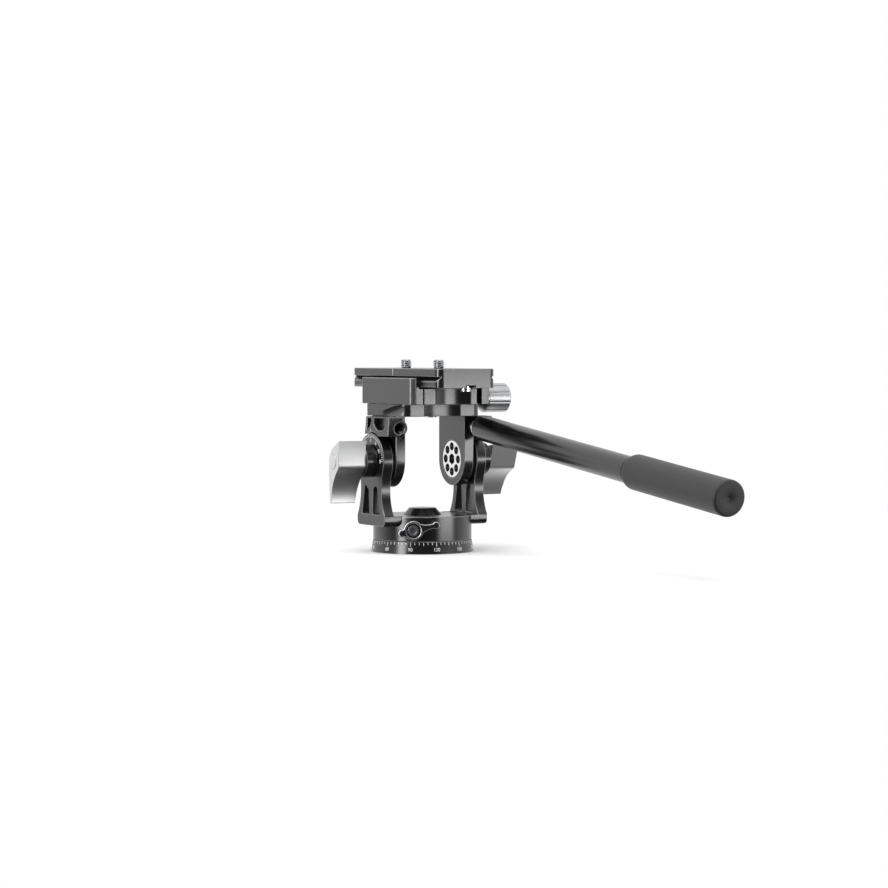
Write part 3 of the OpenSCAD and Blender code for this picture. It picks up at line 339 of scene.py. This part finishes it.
# Width of each piece's broken edges, in millimetres
EDGES = {"base_plate": 0.25, "pan_body": 0.35, "spindle_cap": 0.3, "left_fork_arm": 0.5,
         "right_fork_arm": 0.5, "left_cheek": 0.5, "right_cheek": 0.5, "cradle_plate": 0.4,
         "clamp_body": 0.45, "moving_jaw": 0.45, "quick_release_plate": 0.35, "left_knob_hub": 0.3,
         "right_knob_hub": 0.3, "left_tilt_knob": 0.3, "right_tilt_knob": 0.3, "left_tilt_axle": 0.2,
         "right_tilt_axle": 0.2, "handle_washer": 0.25, "plate_stop_screws": 0.3, "left_knob_cap": 0.2,
         "right_knob_cap": 0.2, "pan_lock_lever": 0.45, "pan_lock_screw": 0.15, "handle_tube": 0.15,
         "left_thrust_washer": 0.15, "right_thrust_washer": 0.15, "jaw_washer": 0.15}
# Black pieces get a painted highlight on their broken edges, apart from the lever's bare cut one and the
# tube's, which keeps its own finish
EDGE_FINISH = {"pan_lock_lever": CUT_EDGE, "handle_tube": None}
for name, width in EDGES.items():
    edge = EDGE_FINISH.get(name, EDGE_HIGHLIGHT_PAINT if SLOT[name] == "black_anodised" else None)
    broken_edges(name, width, edge, FOLDS.get(name))


def revolve(profile, steps, relief=None, closed=False):
    """A mesh turned about Z from (radius, height) points in millimetres; relief adds to the radius, and takes
    and gives metres."""
    work = bmesh.new()
    rings = []
    for radius, height in ((radius * MM, height * MM) for radius, height in profile):
        ring = []
        for step in range(steps):
            angle = 2 * math.pi * step / steps
            reach = radius + (relief(radius, height, angle) if relief else 0)
            ring.append(work.verts.new((reach * math.cos(angle), reach * math.sin(angle), height)))
        rings.append(ring)
    pairs = list(zip(rings, rings[1:])) + ([(rings[-1], rings[0])] if closed else [])
    for low, high in pairs:
        for i in range(steps):
            j = (i + 1) % steps
            work.faces.new((low[i], low[j], high[j], high[i]))
    bmesh.ops.remove_doubles(work, verts=work.verts, dist=WELD)
    bmesh.ops.recalc_face_normals(work, faces=work.faces)
    mesh = bpy.data.meshes.new("turned")
    work.to_mesh(mesh)
    work.free()
    return mesh


def span(start, end, step):
    """Heights from start to end, no further apart than a step."""
    count = max(1, math.ceil(abs(end - start) / step))
    return [start + (end - start) * i / count for i in range(count + 1)]


def round_corner(centre, radius, start, end, count=6):
    """Profile points on a round corner, between two angles in degrees from outwards."""
    angles = [math.radians(start + (end - start) * i / count) for i in range(count + 1)]
    return [(centre[0] + radius * math.cos(angle), centre[1] + radius * math.sin(angle)) for angle in angles]


def thread(pitch_mm, depth_mm):
    """Relief of a 60 degree thread cut into a radius, as depth below it."""
    middle, slope = 1.25, 3.2  # the groove's flat middle and its flanks, in shares of the depth and the pitch

    def relief(height, angle):
        phase = (height / (pitch_mm * MM) - angle / (2 * math.pi)) % 1
        return -depth_mm * MM * min(1, max(0, middle - abs(phase - 0.5) * slope))
    return relief


def handle_frame(side):
    """Frame of a handle seat, with +Z running back along the handle."""
    seat = Matrix.Translation(Vector((HANDLE_SEAT.x * side, HANDLE_SEAT.y, HANDLE_SEAT.z)))
    return seat @ Matrix.Rotation(math.pi / 2 + HANDLE_SLOPE, 4, "X")


def turned_piece(name, mesh, place, material, like, replaced=True, sharp=40):
    """A turned mesh set in place, riding with a CAD node that it may replace."""
    mesh.transform(place)
    smooth_by_angle(mesh, sharp)
    piece = new_piece(name, mesh, material, BODY[like])
    if replaced:
        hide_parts(like)


def foam_grip():
    """The grip: a rounded front shoulder, a soft rear edge and a shallow dimple in its end."""
    front, rear, radius, bore, wall = 164.6, 254.6, 9.6, 7.42, 6
    profile = [(bore, rear - wall), (bore, front + 0.3), (7.7, front), (7.9, front)]
    profile += round_corner((radius - 3.2, front + 1.5), 1.5, -90, -60, 3)
    profile += round_corner((radius - 4, front + 4.6), 4, -48, 0, 8)
    profile += [(radius, height) for height in span(front + 6, rear - 3, 6)]
    profile += round_corner((radius - 1.6, rear - 1.6), 1.6, 0, 90)
    dimple = ((6, 0), (4, 0.06), (2.6, 0.3), (1.4, 0.9), (0.7, 1.2), (0, 1.25), (0, wall))
    profile += [(across, rear - depth) for across, depth in dimple]
    turned_piece("foam_grip", revolve(profile, 96, closed=True), handle_frame(1), FOAM, "handle_grip")


def knurled_knob():
    """The clamp knob: a stem, a cone and a band with ten flutes and diamond knurling between them."""
    stem, cone, band, end, bore, radius = 29.55, 35.55, 40.05, 55.55, 2.52, 8.7
    flutes, flute_r, flute_out, flute_reach = 10, 1.1, 0.5, 0.98
    diamond, knurl_depth = 0.9, 0.16
    profile = [(bore, stem), (4.7, stem), (5, stem + 0.3)]
    profile += [(5, cone - 0.4), (5.15, cone), (6.9, cone + 2.6), (8.1, band - 0.2), (8.3, band)]
    profile += [(8.3, band + 0.5), (8.6, band + 0.8)]
    profile += [(radius, height) for height in span(band + 0.9, end - 1, 0.2)]
    profile += [(8.3, end - 0.5), (7.9, end - 0.15), (7.5, end), (6.6, end)]
    profile += [(6.3, end - 0.35), (0, end - 0.35), (0, end - 4), (bore, end - 4)]

    def relief(reach, height, angle):
        if reach < radius * MM - WELD:
            return 0
        across = (angle * flutes / (2 * math.pi) + 0.5) % 1 - 0.5
        aside = abs(across) * 2 * math.pi * radius / flutes
        if aside < flute_reach:
            return -(math.sqrt(flute_r ** 2 - aside ** 2) - flute_out) * MM
        one = abs((angle * radius + height / MM) / diamond % 2 - 1)
        two = abs((angle * radius - height / MM) / diamond % 2 - 1)
        return -knurl_depth * max(0.5, 1 - min(one, two)) * MM

    place = Matrix.Translation((0, 0, CLAMP_AXIS_Z)) @ Matrix.Rotation(math.pi / 2, 4, "Y")
    turned_piece("knurled_clamp_knob", revolve(profile, 420, relief, True), place, GUNMETAL, "clamp_knob",
                 sharp=28)


def threaded_screws():
    """Captive camera screws with a cut 1/4 inch thread above a plain neck, and a hexagon socket below."""
    head, neck, low, top = 96.7, 99.1, 107.1, 111.8
    socket_r, flare, socket_top, neck_r, thread_r = 2.6, 0.01, head + 1.6, 2.6, 3.17
    profile = [(0, socket_top), (socket_r - flare, socket_top), (socket_r + flare, head), (5.6, head)]
    profile += [(5.9, head + 0.3), (5.9, neck - 0.2), (5.7, neck)]
    profile += [(neck_r, neck), (neck_r, low - 0.1), (2.7, low)]
    profile += [(thread_r, height) for height in span(low + 0.3, top - 0.6, 0.12)] + [(neck_r, top), (0, top)]
    cut = thread(1.27, 0.65)

    def relief(radius, height, angle):
        if abs(radius - socket_r * MM) < 2 * flare * MM and height < (neck - 0.5) * MM:
            return radius * (math.cos(math.pi / 6) / math.cos(angle % (math.pi / 3) - math.pi / 6) - 1)
        return cut(height, angle) if radius > (thread_r - 0.01) * MM and height > low * MM else 0

    pair = bmesh.new()
    for y_mm in (-20, 20):
        screw = revolve(profile, 60, relief)
        screw.transform(Matrix.Translation((0, y_mm * MM, 0)))
        pair.from_mesh(screw)
        bpy.data.meshes.remove(screw)
    mesh = bpy.data.meshes.new("screws")
    pair.to_mesh(mesh)
    pair.free()
    turned_piece("threaded_camera_screws", mesh, Matrix(), STEEL, "camera_screws", sharp=50)


def threaded_insert():
    """The tripod insert, with its 3/8 inch thread cut outwards from the bore."""
    low, top, outer, bore, mouth = 0.3, 9.5, 7, 4.1, 4.9
    profile = [(outer, top - 0.3), (outer - 0.3, top), (mouth, top)]
    profile += [(bore, height) for height in span(top - 0.5, low + 0.5, 0.15)]
    profile += [(mouth, low), (outer - 0.2, low), (outer, low + 0.2)]
    groove = thread(1.5875, 0.6)

    def relief(radius, height, angle):
        return -groove(height, angle) if radius < (bore + 0.1) * MM else 0

    turned_piece("threaded_tripod_insert", revolve(profile, 72, relief, True), Matrix(), STEEL,
                 "tripod_thread_insert", sharp=50)


def socket_thread():
    """The M6 thread in the free handle socket on the left, standing in from the bore's wall."""
    wall, crest, mouth, end = 3, 2.55, -0.8, -11.6
    profile = [(wall, mouth), (wall, end)]
    profile += [(crest, height) for height in span(end + 0.2, mouth - 0.2, 0.12)]
    groove = thread(1, 0.43)

    def relief(radius, height, angle):
        return -groove(height, angle) if radius < (crest + 0.05) * MM else 0

    turned_piece("left_socket_thread", revolve(profile, 48, relief, True), handle_frame(-1), BLACK_ANODISED,
                 "left_cheek", replaced=False, sharp=50)


# Printed marks

INK_LIFT = 0.03 * MM  # height of the middle of the ink above its surface
FIGURE_SHARE = 0.73  # height of a figure in the built-in typeface, as a share of its size


def figure(text, height_mm):
    """A printed number as a flat mesh, centred, in the built-in typeface."""
    curve = bpy.data.curves.new("figure", "FONT")
    curve.body = text
    curve.size = height_mm / FIGURE_SHARE * MM
    curve.align_x = "CENTER"
    curve.align_y = "CENTER"
    carrier = bpy.data.objects.new("figure", curve)
    bpy.context.scene.collection.objects.link(carrier)
    graph = bpy.context.evaluated_depsgraph_get()
    mesh = bpy.data.meshes.new_from_object(carrier.evaluated_get(graph))
    bpy.data.objects.remove(carrier)
    bpy.data.curves.remove(curve)
    return mesh


def bar(width_mm, low_mm, high_mm):
    """A printed line as a flat mesh, from one height to another."""
    mesh = bpy.data.meshes.new("bar")
    half = width_mm / 2
    corners = ((-half, low_mm), (half, low_mm), (half, high_mm), (-half, high_mm))
    mesh.from_pydata([(x * MM, y * MM, 0) for x, y in corners], [], [(0, 1, 2, 3)])
    return mesh


def printed(name, marks, body, thickness_mm=0.04):
    """Flat marks, each with the mapping that lays it on a surface, as one thin layer of ink."""
    work = bmesh.new()
    for mesh, lay in marks:
        for vertex in mesh.vertices:
            vertex.co = lay(vertex.co)
        work.from_mesh(mesh)
        bpy.data.meshes.remove(mesh)
    ink = bpy.data.meshes.new(name)
    work.to_mesh(ink)
    work.free()
    piece = new_piece(name, ink, WHITE_INK, body)
    solid = piece.modifiers.new("thickness", "SOLIDIFY")
    solid.thickness = thickness_mm * MM
    solid.offset = 0
    bake_modifiers(piece)


def on_cone(degrees):
    """Lays a mark on the base's cone at a plan angle, with its height up the cone."""
    def lay(point):
        radius = BASE_R + (BASE_TOP_R - BASE_R) * point.y / BASE_H + INK_LIFT
        angle = math.radians(degrees) + point.x / radius
        return Vector((radius * math.cos(angle), radius * math.sin(angle), point.y))
    return lay


def on_arm(side, degrees, radius_mm):
    """Lays a mark on an arm's outer face, turned about the tilt axis from straight up towards the rear."""
    turn = math.radians(degrees)

    def lay(point):
        up = point.y + radius_mm * MM
        along = point.x * side
        rear = up * math.sin(turn) - along * math.cos(turn)
        height = TILT_Z + up * math.cos(turn) + along * math.sin(turn)
        return Vector((side * (ARM_OUT + INK_LIFT), -rear, height))
    return lay


def pan_scale():
    """Lines every 5 degrees around the base, longer at 15 and 30, with a number at every 30."""
    zero, line_top, number_middle = 138, 6.7, 2.6
    marks = []
    for degrees in range(0, 360, 5):
        low = 4.5 if degrees % 30 == 0 else 5 if degrees % 15 == 0 else 5.4
        place = on_cone(degrees + zero)
        marks.append((bar(0.3, low, line_top), place))
        if degrees % 30 == 0:
            number = figure(str(degrees), 2)
            number.transform(Matrix.Translation((0, number_middle * MM, 0)))
            marks.append((number, place))
    printed("pan_scale", marks, "base")


def tilt_scales():
    """Lines every 5 degrees on the arms' heads, with a number at every 30, and the cheeks' index lines."""
    line_top, number_r = 15.1, 11.7
    marks = []
    for side in (-1, 1):
        for degrees in range(-90, 91, 5):
            low = 13 if degrees % 30 == 0 else 13.6
            marks.append((bar(0.26, low, line_top), on_arm(side, degrees, 0)))
            if degrees % 30 == 0:
                marks.append((figure(str(abs(degrees)), 1.7), on_arm(side, degrees, number_r)))
    printed("tilt_scales", marks, "pan")
    index_low, index_top = 17.2, 18.4
    lines = [(bar(0.3, index_low, index_top), on_arm(side, 0, 0)) for side in (-1, 1)]
    printed("tilt_index_lines", lines, "cradle")


def plate_line():
    """The white line across the middle of the plate's long sides."""
    middle_y, low, top = 1, 102.6, 106.5

    def on_side(side):
        return lambda point: Vector((side * (PLATE_SIDE + INK_LIFT), middle_y * MM + point.x, point.y))
    printed("plate_centre_lines", [(bar(0.35, low, top), on_side(side)) for side in (-1, 1)], "plate")


foam_grip()
knurled_knob()
threaded_screws()
threaded_insert()
socket_thread()
pan_scale()
tilt_scales()
plate_line()


# Floor, light and camera

def stage_floor():
    """A pale floor that fades into the white surround and stays out of the metal's reflections."""
    fade_start, fade_end = 0.16, 0.6
    bpy.ops.mesh.primitive_plane_add(size=4)
    floor = bpy.context.object
    floor.name = "floor"
    floor.visible_glossy = False
    material, tree, shader, place = surface("pale_studio_floor", Roughness=0.9)
    tint(tree, shader, place, "#f4f4f4", "#f7f7f7", 400)
    reach = add(tree, "ShaderNodeVectorMath", {"operation": "LENGTH"})
    tree.links.new(place, reach.inputs[0])
    fade = add(tree, "ShaderNodeMapRange",
               {"interpolation_type": "SMOOTHERSTEP", "From Min": fade_start, "From Max": fade_end,
                "To Min": 1.0, "To Max": 0.0}, Value=reach.outputs["Value"])
    tree.links.new(fade.outputs["Result"], shader.inputs["Alpha"])
    floor.data.materials.append(material)


def softbox(name, place, width, height, watts):
    """A rectangular light that looks at the middle of the head, in metres and watts."""
    aim = Vector((0, -0.02, 0.06))
    data = bpy.data.lights.new(name, "AREA")
    data.shape = "RECTANGLE"
    data.size = width
    data.size_y = height
    data.energy = watts
    light = bpy.data.objects.new(name, data)
    light.location = place
    light.rotation_euler = (aim - Vector(place)).to_track_quat("-Z", "Y").to_euler()
    light.visible_camera = False
    bpy.context.scene.collection.objects.link(light)


def studio():
    """White for the eye; the metal mirrors a white surround ahead and above, and a dark room behind the
    camera and below. Softboxes stand at the left, at the right rear and above."""
    bright_way, dark_end, bright_end, room_light = (0.4755, 0.8797, 0.6), -0.55, 0.35, 0.06
    world = bpy.data.worlds.new("studio")
    bpy.context.scene.world = world
    world.use_nodes = True
    tree = world.node_tree
    way = add(tree, "ShaderNodeTexCoord").outputs["Generated"]
    ahead = add(tree, "ShaderNodeVectorMath", {"operation": "DOT_PRODUCT"})
    tree.links.new(way, ahead.inputs[0])
    ahead.inputs[1].default_value = bright_way
    lit = add(tree, "ShaderNodeMapRange",
              {"interpolation_type": "SMOOTHSTEP", "From Min": dark_end, "From Max": bright_end,
               "To Min": room_light, "To Max": 1.0}, Value=ahead.outputs["Value"])
    seen = add(tree, "ShaderNodeLightPath").outputs["Is Camera Ray"]
    strength = add(tree, "ShaderNodeMath", {"operation": "MAXIMUM"})
    tree.links.new(lit.outputs["Result"], strength.inputs[0])
    tree.links.new(seen, strength.inputs[1])
    back = tree.nodes["Background"]
    back.inputs["Color"].default_value = linear("#ffffff")
    tree.links.new(strength.outputs["Value"], back.inputs["Strength"])
    softbox("left_softbox", (-1.3, -0.3, 0.25), 0.4, 1.0, 11)
    softbox("rear_softbox", (0.67, -1.23, 0.01), 0.9, 0.2, 4.7)
    softbox("top_softbox", (-0.3, -0.5, 1.3), 1.2, 1.2, 14)
    bpy.context.scene.view_settings.view_transform = "Standard"


def photo_camera():
    """The camera as fitted to the photograph, 28.4 degrees to the left of straight behind the head."""
    azimuth, to_the_right, down = math.radians(28.39), 0.00798, 0.03547
    focal_px, photo_px, sensor_mm = 2718, 888, 36
    ahead = Vector((math.sin(azimuth), math.cos(azimuth), 0))
    right = Vector((math.cos(azimuth), -math.sin(azimuth), 0))
    look = ahead + right * to_the_right - Vector((0, 0, down))
    data = bpy.data.cameras.new("photo_camera")
    data.sensor_width = sensor_mm
    data.lens = focal_px / photo_px * sensor_mm
    data.clip_end = 100
    camera = bpy.data.objects.new("photo_camera", data)
    camera.location = Vector((-754.6, -1396.1, 118.8)) * MM
    camera.rotation_euler = look.to_track_quat("-Z", "Y").to_euler()
    bpy.context.scene.collection.objects.link(camera)
    bpy.context.scene.camera = camera


stage_floor()
studio()
photo_camera()
